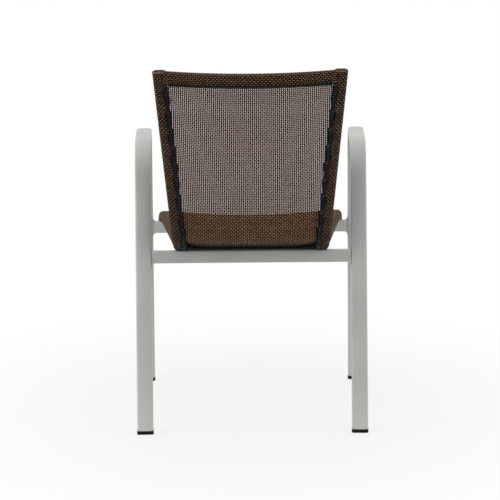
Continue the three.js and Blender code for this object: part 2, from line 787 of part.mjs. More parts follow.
function backSag(station) {
  const share = (station.length - topStation.length) / (lumbarStation.length - topStation.length);
  const flat = smooth(Math.min(1, Math.max(0, share)));
  return { depth: mix(sagOf(topRail), sagOf(lumbarRail), flat), flat };
}

function seatSagAt(station) {
  if (station.length > crestLength) {
    const share = (station.length - crestLength) / (frontStation.length - crestLength);
    return { depth: crestSag * (1 - smooth(Math.min(1, share))), flat: 0 };
  }
  const share = Math.max(0, (station.length - lumbarStation.length) / (crestLength - lumbarStation.length));
  const depth = mix(sagOf(lumbarRail), crestSag, share) + seatSag * easing(2 * share - 1) / 2;
  return { depth, flat: 1 - smooth(share) };
}

const boltHoles = (spots, widening) => spots.flatMap((spot) => [1, -1].map((side) => uprightCylinder(
  boltShank / 2 + widening,
  spot.barTop - overrun,
  spot.barTop + railSeat,
).translate(side * spot.half, -spot.ahead, 0)));

function addSling(name, body, ends, wrapGeometry, holes) {
  const cover = without(wrapGeometry, ...copers);
  addPiece(chair, name, without(joined(body, ...ends, cover), ...boltHoles(holes, gap + boltHoleEase)), wovenCloth);
}

const earStations = stretch(0, topStation.length + railFlat, rowPitch);
addSling(
  'back_sling',
  slingBody(stretch(topStation.length, seamFrom, rowPitch), backSag),
  [1, -1].map((side) => sideWrap(earStations, side)),
  acrossShell(topRail, roundWrapShape(railFlat, 1, -railFlat), reachIntoRail(topRail)),
  [boltPlaces[0]],
);

const lipStations = stretch(frontStation.length - railFlat, trackLength, rowPitch);
addSling(
  'seat_sling',
  slingBody(stretch(seamTo, frontStation.length, rowPitch), seatSagAt),
  [1, -1].map((side) => sideWrap(lipStations, side)),
  acrossShell({ ...frontRail, steps: panelSteps }, roundWrapShape(0, -1, railFlat / 2), reachIntoRail(frontRail)),
  [boltPlaces[1]],
);

// Edge strips: an arc round a rail's inner end, with raised clips whose flanges lie over the cloth's edge

function arcPoints(inward, radius, from, to, steps = clipSteps) {
  return Array.from({ length: steps + 1 }, (_, i) => {
    const angle = from + (to - from) * i / steps;
    return new THREE.Vector2(inward * (railFlat + radius * Math.sin(angle)), -radius * Math.cos(angle));
  });
}

const stripInner = railDepth / 2 + gap;
const clothEdge = tuck + Math.asin(2 * gap / stripInner);

// The outline of a clip, or of the thin web that joins two clips, with as many points in both
function stripOutline(inward, isClip) {
  const one = (radius, angle) => arcPoints(inward, radius, angle, angle, 1)[0];
  const over = clothRadius + cloth / 2 + gap;
  const thick = isClip ? clipThick : webThick;
  const slopeEnd = clothEdge + clipStart * 2;
  // the web keeps a low rim along the cloth's cut edge
  const lip = isClip ? clipFlange : webThick / 2;
  const reach = isClip ? clipStart : clothEdge + clipStart / 2;
  const foot = isClip ? over : over + webThick / 4;
  const flange = [one(over + lip, slopeEnd), one(over + lip, reach), one(foot, reach), one(over, clothEdge)];
  return [
    ...flange,
    ...arcPoints(inward, stripInner, clothEdge, clipTurn),
    ...arcPoints(inward, stripInner + thick, clipTurn, slopeEnd, clipSteps - 1),
  ];
}

// Stations of a strip, each with whether the section there is a clip's
function stripStations(from, to) {
  const count = Math.max(1, Math.floor((to - from + clipPitch - clipLength) / clipPitch));
  const spare = (to - from - count * clipPitch + clipPitch - clipLength) / 2;
  const spans = [];
  let reached = from;
  for (let i = 0; i < count; i += 1) {
    const start = from + spare + i * clipPitch;
    const end = start + clipLength;
    spans.push([reached, start, false], [start + clipRamp, end - clipRamp, true]);
    reached = end;
  }
  spans.push([reached, to, false]);
  return spans.flatMap(([a, b, isClip]) => stretch(a, b, clipPitch).map((station) => ({ station, isClip })))
    .filter(({ station }, i, all) => i === 0 || station.length - all[i - 1].station.length > gap / 10);
}

const clipReach = railDepth / 2 + gap + clipThick + clipFlange;
const besideBar = (ahead, sign) => lengthAtAhead(ahead + sign * (barDepth / 2 + clipClear));
const heelStart = lengthAtHeight(heel.y + heelBendRadius * Math.tan(heelTurn / 2) * Math.cos(backLean));
const stripRuns = {
  back: [topStation.length + railFlat + clipReach + clipClear, heelStart + clipLength],
  seat: [lumbarStation.length + railDepth / 2 + clipClear, besideBar(frontBarAhead, -1)],
  lip: [besideBar(frontBarAhead, 1), frontStation.length - railDepth / 2 - clipClear],
};

function sideStrip(side, from, to) {
  return loft(stripStations(from, to).map(({ station, isClip }) => {
    const at = place(side * railHalf(station), station.ahead, station.height);
    return stripOutline(-side, isClip).map((point) => at.clone()
      .addScaledVector(sideways, point.x)
      .addScaledVector(toSitter(station), point.y));
  }), new THREE.Shape(stripOutline(-side, false)));
}

[[1, 'left'], [-1, 'right']].forEach(([side, sideName]) => {
  Object.entries(stripRuns).forEach(([part, [from, to]]) => {
    addPiece(chair, `${sideName}_${part}_strip`, sideStrip(side, from, to), blackPlastic);
  });
});

// The same profile under the top rail, in one length between the side strips
const topStripHalf = railHalf(topStation) - railFlat - clipReach - clipClear;
const topStripShape = new THREE.Shape(stripOutline(-1, true));
addPiece(chair, 'top_strip', acrossShell(topRail, topStripShape, topStripHalf), blackPlastic);

// Crossbars between the legs, flared into a weld bead at both ends

function addCrossbar(name, ahead, top, slope) {
  const middle = top - barHeight / 2;
  // one ring of the bar, drawn in from the leg's face and grown by a share of the bead
  const ring = (side, inset, share) => {
    const grown = weldBead * share;
    const depth = barDepth * (1 + weldSideShare * share);
    const shape = roundedRectangle(depth, barHeight + 2 * grown, barCorner);
    return shape.getPoints().slice(0, -1).map((point) => {
      const pointAhead = ahead + point.x + point.y * slope * share;
      return place(side * (legInside(pointAhead, middle + point.y) - gap - inset), pointAhead, middle + point.y);
    });
  };
  const flare = (side) => Array.from({ length: weldFacets + 1 }, (_, i) => {
    const turn = Math.PI / 2 * i / weldFacets;
    return ring(side, weldBead * Math.sin(turn), 1 - Math.sin(turn) * (2 - Math.sin(turn)));
  });
  const bar = loft([...flare(1), ...flare(-1).reverse()], roundedRectangle(barDepth, barHeight, barCorner));
  const spots = boltPlaces.filter((spot) => spot.barTop === top);
  const holes = spots.flatMap((spot) => [1, -1].flatMap((side) => [
    uprightCylinder(boltShank / 2 + gap, top - barHeight - overrun, top + overrun),
    uprightCylinder(washerWidth / 2 + gap, top - barHeight - overrun, top - barWall),
  ].map((hole) => hole.translate(side * spot.half, -ahead, 0))));
  addPiece(chair, name, without(bar, ...holes), paint);
}

addCrossbar('rear_crossbar', rearBarAhead, rearBarTop, Math.tan(rearRake));
addCrossbar('front_crossbar', frontBarAhead, frontBarTop, -Math.tan(frontRake));

// Shell bolts, up from inside the crossbars, with their washers and the threaded inserts in the side rails

function hexagon(across, low, high) {
  const corner = across / 2 / Math.cos(Math.PI / 6);
  const prism = new THREE.CylinderGeometry(corner, corner, high - low, 6);
  prism.rotateX(Math.PI / 2);
  return prism.translate(0, 0, (low + high) / 2);
}

const washerTop = (spot) => spot.barTop - barWall - gap;
const headTop = (spot) => washerTop(spot) - washerThick - gap;

const boltAt = (spot) => {
  const top = headTop(spot);
  const low = top - boltHeadHeight;
  const body = joined(
    uprightCylinder(boltShank / 2, top - gap, nutHigh(spot) - overrun),
    uprightCylinder(boltHead / 2, low, top),
  );
  return without(body, hexagon(socketAcross, low - overrun, low + socketDepth));
};

const ringBetween = (innerRadius, outerRadius, low, high) => without(
  uprightCylinder(outerRadius, low, high),
  uprightCylinder(innerRadius, low - overrun, high + overrun),
);

boltPlaces.forEach((spot, i) => [[1, 'left'], [-1, 'right']].forEach(([side, sideName]) => {
  const corner = `${['rear', 'front'][i]}_${sideName}`;
  const put = (geometry) => geometry.translate(side * spot.half, -spot.ahead, 0);
  const hole = boltShank / 2 + gap;
  const washer = ringBetween(hole, washerWidth / 2, washerTop(spot) - washerThick, washerTop(spot));
  const nut = ringBetween(hole, nutWidth / 2, nutLow(spot), nutHigh(spot));
  addPiece(chair, `${corner}_bolt`, put(boltAt(spot)), zincSteel);
  addPiece(chair, `${corner}_washer`, put(washer), zincSteel);
  addPiece(chair, `${corner}_nut`, put(nut), zincSteel);
}));

// The origin is at the middle of the footprint

const part = new THREE.Group();
const bounds = new THREE.Box3().setFromObject(chair);
chair.position.y = -(bounds.min.y + bounds.max.y) / 2;
part.add(chair);

export default part;
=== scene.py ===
import math

import bmesh
import bpy
import numpy as np
from mathutils import Matrix, Vector


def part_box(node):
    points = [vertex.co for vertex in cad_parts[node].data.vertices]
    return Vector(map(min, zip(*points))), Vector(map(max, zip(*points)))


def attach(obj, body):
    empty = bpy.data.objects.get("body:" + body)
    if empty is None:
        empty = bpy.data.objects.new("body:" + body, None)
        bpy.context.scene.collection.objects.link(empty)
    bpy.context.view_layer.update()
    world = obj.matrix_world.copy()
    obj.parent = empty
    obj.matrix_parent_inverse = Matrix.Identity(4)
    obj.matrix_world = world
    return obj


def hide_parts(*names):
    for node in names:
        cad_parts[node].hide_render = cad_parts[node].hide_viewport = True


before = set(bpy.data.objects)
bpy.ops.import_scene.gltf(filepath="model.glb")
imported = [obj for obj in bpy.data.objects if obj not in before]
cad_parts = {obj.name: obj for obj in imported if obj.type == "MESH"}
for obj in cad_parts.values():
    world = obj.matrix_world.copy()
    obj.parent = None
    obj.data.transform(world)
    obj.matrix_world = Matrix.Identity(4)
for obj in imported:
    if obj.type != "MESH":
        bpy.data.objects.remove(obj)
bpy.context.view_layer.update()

# Camera
# A long lens some four metres behind the chair and well above the seat, looking slightly down.
# Its place and tilt come from a fit to the photograph's edges.
sensor_width, lens_length = 36, 121.78
camera_distance, camera_height, camera_side = 3.8296, 1.1827, 0.0177
camera_pitch, camera_yaw, camera_roll = 0.19105, 0.00375, 0.00778
rear_foot_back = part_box("rear_left_glide")[1].y
camera_data = bpy.data.cameras.new("camera")
camera_data.sensor_width = sensor_width
camera_data.lens = lens_length
camera = bpy.data.objects.new("camera", camera_data)
bpy.context.collection.objects.link(camera)
bpy.context.scene.camera = camera
camera.location = (camera_side, rear_foot_back + camera_distance, camera_height)
faced = Matrix.Rotation(math.pi - camera_yaw, 4, "Z")
tilted = Matrix.Rotation(math.pi / 2 - camera_pitch, 4, "X")
rolled = Matrix.Rotation(-camera_roll, 4, "Z")
camera.rotation_euler = (faced @ tilted @ rolled).to_euler()

# Floor, backdrop and light
# A plain white sweep under one large weak light, with a narrow light at each side. The room round
# the camera and a lane of floor in front of it throw hardly any light on the chair, but the camera,
# mirrors and glass see plain white there.
white_from, white_by, near_white = 0.3, 1.2, 0.75
lane_from, lane_dark, lane_spread, lane_glow = 0.35, 0.95, 0.55, 0.02
room_from, room_dark, side_glow, lens_glow, overhead_gain = 0.5, 1.0, 1.2, 0.02, 0.92
floor_width, floor_grey, floor_roughness, floor_specular = 120, 0.62, 0.8, 0.1
plain_white = (1, 1, 1, 1)
bpy.context.scene.view_settings.view_transform = "Standard"


def add_node(tree, kind, inputs=None, **settings):
    """A new node. Each input is a plain value, or another node's output that is linked to it."""
    node = tree.nodes.new(kind)
    for setting, value in settings.items():
        setattr(node, setting, value)
    for socket, value in (inputs or {}).items():
        if isinstance(value, bpy.types.NodeSocket):
            tree.links.new(value, node.inputs[socket])
        else:
            node.inputs[socket].default_value = value
    return node


def worked_out(tree, operation, *values):
    """The result of one step of arithmetic on values or other nodes' outputs."""
    inputs = dict(enumerate(values))
    return add_node(tree, "ShaderNodeMath", inputs, operation=operation).outputs["Value"]


def run_between(tree, value, ends, results, manner="SMOOTHSTEP"):
    """The first result up to the first end, the second past the second end, and a run between."""
    inputs = {"Value": value, "From Min": ends[0], "From Max": ends[1]}
    inputs |= {"To Min": results[0], "To Max": results[1]}
    run = add_node(tree, "ShaderNodeMapRange", inputs, interpolation_type=manner)
    return run.outputs["Result"]


def seen_white(tree):
    """1 for a ray from the camera, a mirror or glass, which sees the plain backdrop."""
    rays = tree.nodes.new("ShaderNodeLightPath")
    white = rays.outputs["Is Camera Ray"]
    for kind in ("Is Glossy Ray", "Is Transmission Ray"):
        white = worked_out(tree, "MAXIMUM", white, rays.outputs[kind])
    return white


def show_mix(tree, share, first, second, output):
    """Leads a mix of two shaders to the output, all the first at 0 and all the second at 1."""
    mix = add_node(tree, "ShaderNodeMixShader", {"Fac": share, 1: first, 2: second})
    tree.links.new(mix.outputs["Shader"], tree.nodes[output].inputs["Surface"])


world = bpy.data.worlds.new("studio")
bpy.context.scene.world = world
world.use_nodes = True
tree = world.node_tree
direction = add_node(tree, "ShaderNodeTexCoord").outputs["Generated"]
axes = add_node(tree, "ShaderNodeSeparateXYZ", {"Vector": direction})
to_lens = run_between(tree, axes.outputs["Y"], (room_from, room_dark), (side_glow, lens_glow))
upward = run_between(tree, axes.outputs["Z"], (0.0, 1.0), (1.0, overhead_gain), "LINEAR")
room = tree.nodes["Background"]
room.inputs["Color"].default_value = plain_white
tree.links.new(worked_out(tree, "MULTIPLY", to_lens, upward), room.inputs["Strength"])
backdrop = add_node(tree, "ShaderNodeBackground", {"Color": plain_white, "Strength": 1.0})
room, backdrop = room.outputs["Background"], backdrop.outputs["Background"]
show_mix(tree, seen_white(tree), room, backdrop, "World Output")

bpy.ops.mesh.primitive_plane_add(size=floor_width)
floor = bpy.context.object
floor.name = "floor"
floor_material = bpy.data.materials.new("floor")
floor_material.use_nodes = True
tree = floor_material.node_tree
matte = tree.nodes["Principled BSDF"]
matte.inputs["Base Color"].default_value = (floor_grey, floor_grey, floor_grey, 1)
matte.inputs["Roughness"].default_value = floor_roughness
matte.inputs["Specular IOR Level"].default_value = floor_specular
spot = add_node(tree, "ShaderNodeTexCoord").outputs["Object"]
away = add_node(tree, "ShaderNodeVectorMath", {0: spot}, operation="LENGTH").outputs["Value"]
whiteness = run_between(tree, away, (white_from, white_by), (near_white, 1.0))
axes = add_node(tree, "ShaderNodeSeparateXYZ", {"Vector": spot})
aside = worked_out(tree, "ABSOLUTE", axes.outputs["X"])
lane = worked_out(tree, "MULTIPLY_ADD", aside, -lane_spread, axes.outputs["Y"])
lane_light = run_between(tree, lane, (lane_from, lane_dark), (1.0, lane_glow))
shown_light = worked_out(tree, "MAXIMUM", lane_light, seen_white(tree))
glow = add_node(tree, "ShaderNodeEmission", {"Color": plain_white, "Strength": shown_light})
show_mix(tree, whiteness, matte.outputs["BSDF"], glow.outputs["Emission"], "Material Output")
floor.data.materials.append(floor_material)


def area_light(name, at, aim, size, power):
    data = bpy.data.lights.new(name, "AREA")
    data.shape = "RECTANGLE"
    data.size, data.size_y = size
    data.energy = power
    light = bpy.data.objects.new(name, data)
    light.location = at
    light.rotation_euler = (Vector(aim) - Vector(at)).to_track_quat("-Z", "Y").to_euler()
    bpy.context.collection.objects.link(light)


side_aim, side_size = (0, 0.1, 0.6), (0.5, 1.4)
area_light("overhead", at=(0, 0.6, 2.9), aim=(0, 0.1, 0.4), size=(2.6, 1.8), power=4)
area_light("left_box", at=(2.1, 0.8, 1.0), aim=side_aim, size=side_size, power=20)
area_light("right_box", at=(-2.1, 0.8, 1.0), aim=side_aim, size=side_size, power=11)

# Side frames
# Each is one 38 by 20 mm flat aluminium tube, bent twice into rear leg, arm and front leg, toed out
# towards the front and leaning in a little, with a smooth silver-grey coat.
MM = 0.001
leg_width, leg_depth, leg_corner, leg_crown = 38 * MM, 20 * MM, 4.4 * MM, 1.2 * MM
rear_spacing, front_spacing, foot_pitch = 505.8 * MM, 547.8 * MM, 500 * MM
rear_rake, front_rake, side_lean = math.radians(12), math.radians(1.5), math.radians(0.35)
arm_height, arm_rise, arm_bend, arm_bend_steps = 676 * MM, math.radians(1.6), 90 * MM, 28
corner_steps, crown_steps = 6, 8
glide_height, gap = 8.7 * MM, 0.3 * MM
bar_height, rear_bar_top = 30 * MM, 423.7 * MM
noise_low, noise_high = 0.3, 0.7


def new_material(name, roughness, metallic=0.0, specular=0.5):
    material = bpy.data.materials.new(name)
    material.use_nodes = True
    shader = material.node_tree.nodes["Principled BSDF"]
    shader.inputs["Roughness"].default_value = roughness
    shader.inputs["Metallic"].default_value = metallic
    shader.inputs["Specular IOR Level"].default_value = specular
    return material


def noise_at(tree, scale, detail=2.0, stretch=(1, 1, 1)):
    spot = add_node(tree, "ShaderNodeTexCoord").outputs["Object"]
    mapping = add_node(tree, "ShaderNodeMapping", {"Vector": spot, "Scale": stretch})
    inputs = {"Vector": mapping.outputs["Vector"], "Scale": scale, "Detail": detail}
    return add_node(tree, "ShaderNodeTexNoise", inputs).outputs["Fac"]


def ramp_between(tree, factor, dark, light, low=0.35, high=0.65):
    ramp = add_node(tree, "ShaderNodeValToRGB", {"Fac": factor})
    first, last = ramp.color_ramp.elements
    first.position, last.position = low, high
    first.color, last.color = (*dark, 1), (*light, 1)
    return ramp.outputs["Color"]


def vary(tree, factor, socket, low, high):
    """Lets noise move a socket's value between low and high."""
    value = run_between(tree, factor, (noise_low, noise_high), (low, high), "LINEAR")
    tree.links.new(value, socket)


def bump_from(tree, factor, shader, strength, distance):
    inputs = {"Height": factor, "Strength": strength, "Distance": distance}
    bump = add_node(tree, "ShaderNodeBump", inputs)
    tree.links.new(bump.outputs["Normal"], shader.inputs["Normal"])


def uneven_finish(material, dark, light, patches, rubs, dullness, grain, relief):
    """Colour that wanders in patches, gloss that is rubbed in places, and a fine grain. Patches,
    rubs and grain give the scale and detail of their noise, and relief a strength and a depth."""
    tree = material.node_tree
    shader = tree.nodes["Principled BSDF"]
    colour = ramp_between(tree, noise_at(tree, *patches), dark, light)
    tree.links.new(colour, shader.inputs["Base Color"])
    vary(tree, noise_at(tree, *rubs), shader.inputs["Roughness"], *dullness)
    bump_from(tree, noise_at(tree, *grain), shader, *relief)
    return material


paint = uneven_finish(
    new_material("silver_coat", roughness=0.5, metallic=0.08, specular=0.08),
    dark=(0.43, 0.44, 0.415),
    light=(0.475, 0.485, 0.455),
    patches=(7.0, 4.0),
    rubs=(45.0, 3.0),
    dullness=(0.4, 0.5),
    grain=(1500.0, 2.0),
    relief=(0.12, 0.2 * MM),
)

# "ahead" counts forward from the back of the rear feet, and +Y is to the rear
toe_out = math.atan2((front_spacing - rear_spacing) / 2, foot_pitch)
rear_leg_foot = leg_depth / 2 / math.cos(rear_rake)
front_leg_foot = foot_pitch - leg_depth / 2 / math.cos(front_rake)


def rear_leg_ahead(height):
    return rear_leg_foot + height * math.tan(rear_rake)


def front_leg_ahead(height):
    return front_leg_foot - height * math.tan(front_rake)


def lean_shift(height):
    return math.tan(side_lean) * max(0, height - glide_height)


# the washers lie under the middle of the rear crossbar, which ties "ahead" to the frame's own Y
rear_bar_ahead = rear_leg_ahead(rear_bar_top - bar_height / 2)
rear_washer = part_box("rear_left_washer")
rear_edge = (rear_washer[0].y + rear_washer[1].y) / 2 + rear_bar_ahead


def crossing(point_a, angle_a, point_b, angle_b):
    """Where a line through one point meets a line through another."""
    a = Vector((math.cos(angle_a), math.sin(angle_a)))
    b = Vector((math.cos(angle_b), math.sin(angle_b)))
    offset = Vector(point_b) - Vector(point_a)
    return Vector(point_a) + a * ((offset.x * b.y - offset.y * b.x) / (a.x * b.y - a.y * b.x))


def rounded_path(corners, radius, bend_steps):
    """Stations (ahead, height, angle) along a polyline whose corners are rounded to arcs."""
    corners = [Vector(c) for c in corners]
    stations, start = [], corners[0]
    for i in range(1, len(corners)):
        inward = math.atan2(*(corners[i] - corners[i - 1]).yx)
        stations.append((start.x, start.y, inward))
        if i == len(corners) - 1:
            stations.append((corners[i].x, corners[i].y, inward))
            break
        outward = math.atan2(*(corners[i + 1] - corners[i]).yx)
        turn = math.atan2(math.sin(outward - inward), math.cos(outward - inward))
        reach = radius * math.tan(abs(turn) / 2)
        left = math.copysign(1, turn)
        bend_start = corners[i] - Vector((math.cos(inward), math.sin(inward))) * reach
        centre = bend_start + Vector((-math.sin(inward), math.cos(inward))) * radius * left
        stations.append((bend_start.x, bend_start.y, inward))
        for step in range(1, bend_steps):
            angle = inward + turn * step / bend_steps
            point = centre + Vector((math.sin(angle), -math.cos(angle))) * radius * left
            stations.append((point.x, point.y, angle))
        start = corners[i] + Vector((math.cos(outward), math.sin(outward))) * reach
    return stations


def tube_outline(width, height, corner, crown=0.0):
    """A rounded rectangle, as points (x, y), whose long faces bulge by the crown."""
    points = []
    for quarter, (right, up) in enumerate(((1, 1), (-1, 1), (-1, -1), (1, -1))):
        for i in range(corner_steps + 1):
            angle = math.pi / 2 * (quarter + i / corner_steps)
            x = right * (width / 2 - corner) + corner * math.cos(angle)
            y = up * (height / 2 - corner - crown) + corner * math.sin(angle)
            points.append((x, y))
        if quarter in (0, 2):
            flat = width / 2 - corner
            for i in range(1, crown_steps):
                x = right * flat * (1 - 2 * i / crown_steps)
                y = up * (height / 2 - crown * (x / flat) ** 2)
                points.append((x, y))
    return points


def skin(name, rings, material, sharp=35):
    """A smooth closed piece through rings of the same number of points."""
    count, last = len(rings[0]), len(rings) - 1
    vertices = [tuple(p) for ring in rings for p in ring]
    faces = []
    for k in range(last):
        for i in range(count):
            j, here, beyond = (i + 1) % count, k * count, (k + 1) * count
            faces.append((here + i, here + j, beyond + j, beyond + i))
    faces.append(tuple(reversed(range(count))))
    faces.append(tuple(range(last * count, len(rings) * count)))
    mesh = bpy.data.meshes.new(name)
    mesh.from_pydata(vertices, [], faces)
    bm = bmesh.new()
    bm.from_mesh(mesh)
    bmesh.ops.recalc_face_normals(bm, faces=bm.faces)
    bm.to_mesh(mesh)
    bm.free()
    mesh.polygons.foreach_set("use_smooth", [True] * len(mesh.polygons))
    mesh.set_sharp_from_angle(angle=math.radians(sharp))
    mesh.materials.append(material)
    piece = bpy.data.objects.new(name, mesh)
    bpy.context.collection.objects.link(piece)
    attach(piece, "root")
    return piece


def place(x, ahead, height):
    return Vector((x, rear_edge - ahead, height))


def to_sitter(angle):
    return Vector((0, math.sin(angle), math.cos(angle)))


arm_centre = arm_height - leg_depth / 2 / math.cos(arm_rise)
arm_start = (rear_leg_ahead(arm_centre) + arm_bend * math.cos(rear_rake), arm_centre)
foot_trim = glide_height + gap
side_corners = [
    (rear_leg_ahead(foot_trim), foot_trim),
    crossing((rear_leg_foot, 0), math.pi / 2 - rear_rake, arm_start, arm_rise),
    crossing((front_leg_foot, 0), math.pi / 2 + front_rake, arm_start, arm_rise),
    (front_leg_ahead(foot_trim), foot_trim),
]
side_stations = rounded_path(side_corners, arm_bend, arm_bend_steps)
leg_outline = tube_outline(leg_width, leg_depth, leg_corner, leg_crown)
for side, name in ((1, "left"), (-1, "right")):
    toed = Matrix.Rotation(side * toe_out, 4, "Z")
    stood = Matrix.Translation((side * rear_spacing / 2, rear_edge, 0)) @ toed
    rings = []
    for k, (ahead, height, angle) in enumerate(side_stations):
        ring = []
        for x, y in leg_outline:
            point = Vector((x, -ahead, height)) + to_sitter(angle) * y
            if k in (0, len(side_stations) - 1):
                # the feet are cut level with the floor
                point = Vector((x, -ahead + y / math.sin(angle), height))
            point.x -= side * lean_shift(point.z)
            ring.append(stood @ point)
        rings.append(ring)
    tube = skin(f"{name}_frame_tube", rings, paint)
    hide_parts(f"{name}_side_frame")

# Crossbars
# Flat aluminium tubes of 30 by 15 mm between the legs, coated with the side frames. They are welded
# in, and each end runs out into a rippled fillet.
bar_depth, bar_corner, bar_crown, front_bar_top = 15 * MM, 3.5 * MM, 0.2 * MM, 427 * MM
front_bar_ahead = front_leg_ahead(front_bar_top - bar_height / 2)
weld_bead, weld_side_share, weld_steps = 7 * MM, 0.12, 12
ripple, ripple_turn, weld_sharp = 0.35 * MM, 1.9, 50


def leg_inside(ahead, height):
    centre = rear_spacing / 2 + ahead * math.tan(toe_out)
    return centre - leg_width / 2 / math.cos(toe_out) - lean_shift(height)


def crossbar(name, ahead, top, slope):
    middle = top - bar_height / 2

    def ring(side, inset, share):
        """One section of the bar. The share of the weld in it grows from none to 1 at the leg."""
        depth = bar_depth * (1 + weld_side_share * share)
        height = bar_height + 2 * weld_bead * share
        points = []
        for k, (up, across) in enumerate(tube_outline(height, depth, bar_corner, bar_crown)):
            wave = math.sin(ripple_turn * k) * (share < 1)
            swell = 1 + ripple / bar_height * share * wave
            point_ahead = ahead + across * swell + up * slope * share
            reach = leg_inside(point_ahead, middle + up) - gap - inset
            points.append(place(side * reach, point_ahead, middle + up * swell))
        return points

    flare = []
    for i in range(weld_steps + 1):
        turn = math.pi / 2 * i / weld_steps
        flare.append((weld_bead * math.sin(turn), 1 - math.sin(turn) * (2 - math.sin(turn))))
    rings = [ring(1, *f) for f in flare] + [ring(-1, *f) for f in reversed(flare)]
    bar = skin(name, rings, paint, weld_sharp)
    return bar


rear_bar = crossbar("rear_bar", rear_bar_ahead, rear_bar_top, math.tan(rear_rake))
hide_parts("rear_crossbar")
front_bar = crossbar("front_bar", front_bar_ahead, front_bar_top, -math.tan(front_rake))
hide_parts("front_crossbar")

# Glides, plugs and edge strips
# Black plastic mouldings: a glide pressed into each foot, a plug in each end of the side rails, and
# the strips that clamp the cloth's edges. The skin is glossy, with a faint grain and rubbed places.
plastic = uneven_finish(
    new_material("black_plastic", roughness=0.12, specular=0.1),
    dark=(0.003, 0.0033, 0.0035),
    light=(0.006, 0.0065, 0.007),
    patches=(160.0, 3.0),
    rubs=(90.0, 4.0),
    dullness=(0.09, 0.16),
    grain=(2600.0, 2.0),
    relief=(0.1, 0.1 * MM),
)


def finish_nodes(endings, finish):
    """Gives the finish to the frame's pieces whose names end in one of these words."""
    for name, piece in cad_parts.items():
        if name.rsplit("_", 1)[-1] in endings:
            piece.data.materials.clear()
            piece.data.materials.append(finish)


finish_nodes(("glide", "plug", "strip"), plastic)

# Shell rails
# Bent aluminium tubes with a dark brown coat, welded into one frame inside the cloth's wraps. They
# show only where they meet and under the seat.
dark_coat = uneven_finish(
    new_material("dark_coat", roughness=0.45, metallic=0.2, specular=0.4),
    dark=(0.006, 0.005, 0.0045),
    light=(0.011, 0.009, 0.008),
    patches=(30.0, 3.0),
    rubs=(60.0, 3.0),
    dullness=(0.38, 0.52),
    grain=(1800.0, 2.0),
    relief=(0.15, 0.2 * MM),
)
finish_nodes(("rail",), dark_coat)

# Bolts, washers and threaded inserts
# Zinc-plated steel: four screws that hold the shell on the crossbars from below, with their washers
# and the inserts in the rails. The plating is bright, with fine turned marks and dull patches.
zinc = uneven_finish(
    new_material("zinc", roughness=0.32, metallic=1.0),
    dark=(0.42, 0.43, 0.45),
    light=(0.62, 0.63, 0.65),
    patches=(260.0, 4.0),
    rubs=(400.0, 4.0),
    dullness=(0.24, 0.45),
    grain=(900.0, 2.0, (1, 1, 6)),
    relief=(0.2, 0.1 * MM),
)
finish_nodes(("bolt", "washer", "nut"), zinc)

# Plugs in the tops of the side rails
# A black plastic plug is pressed into the open top of each side rail. It sits almost flush, because
# the cloth closes over it and no cap shows there.
rail_width, rail_depth, cloth = 28 * MM, 18 * MM, 1.4 * MM
back_lean, heel_bend = math.radians(14), 55 * MM
lip_bend, lip_turn, lip_straight = 32 * MM, math.radians(78), 14 * MM
crest_reach, shell_top, plug_cap = front_bar_ahead + 26 * MM, 862 * MM, 2.2 * MM
rear_shell_clear, front_shell_clear, shell_flare = 53 * MM, 16 * MM, 36.5 * MM
flush_cap, cap_edge, plug_depth, plug_slack = 0.5 * MM, 1 * MM, 12 * MM, 2.2 * MM

seat_angle = math.atan2(front_bar_top - rear_bar_top, front_bar_ahead - rear_bar_ahead)
seat_x, seat_z = rear_bar_ahead, rear_bar_top + 2 * gap + cloth + rail_depth / 2
back_angle = -(math.pi / 2 - back_lean)
heel_turn = seat_angle - back_angle
heel_reach = heel_bend * math.tan(heel_turn / 2)
heel_x = seat_x - heel_reach * math.cos(seat_angle)
heel_z = seat_z - heel_reach * math.sin(seat_angle)
crest_z = seat_z + (crest_reach - seat_x) * math.tan(seat_angle)
lip_angle = seat_angle - lip_turn
rail_top_z = shell_top - cloth - gap - plug_cap
back_top_x = heel_x - (rail_top_z - heel_z) * math.tan(back_lean)
wrap_out = rail_width / 2 + gap + cloth
half_heel = leg_inside(rear_bar_ahead, rear_bar_top) - rear_shell_clear - wrap_out
half_top = half_heel + shell_flare
half_crest = leg_inside(crest_reach, crest_z) - front_shell_clear - wrap_out
back_run = (rail_top_z - heel_z) / math.cos(back_lean) - heel_reach
heel_run = heel_bend * heel_turn
seat_run = (crest_reach - seat_x) / math.cos(seat_angle)
lip_run = lip_bend * lip_turn
run_ends = np.cumsum([back_run, heel_run, seat_run, lip_run, lip_straight])


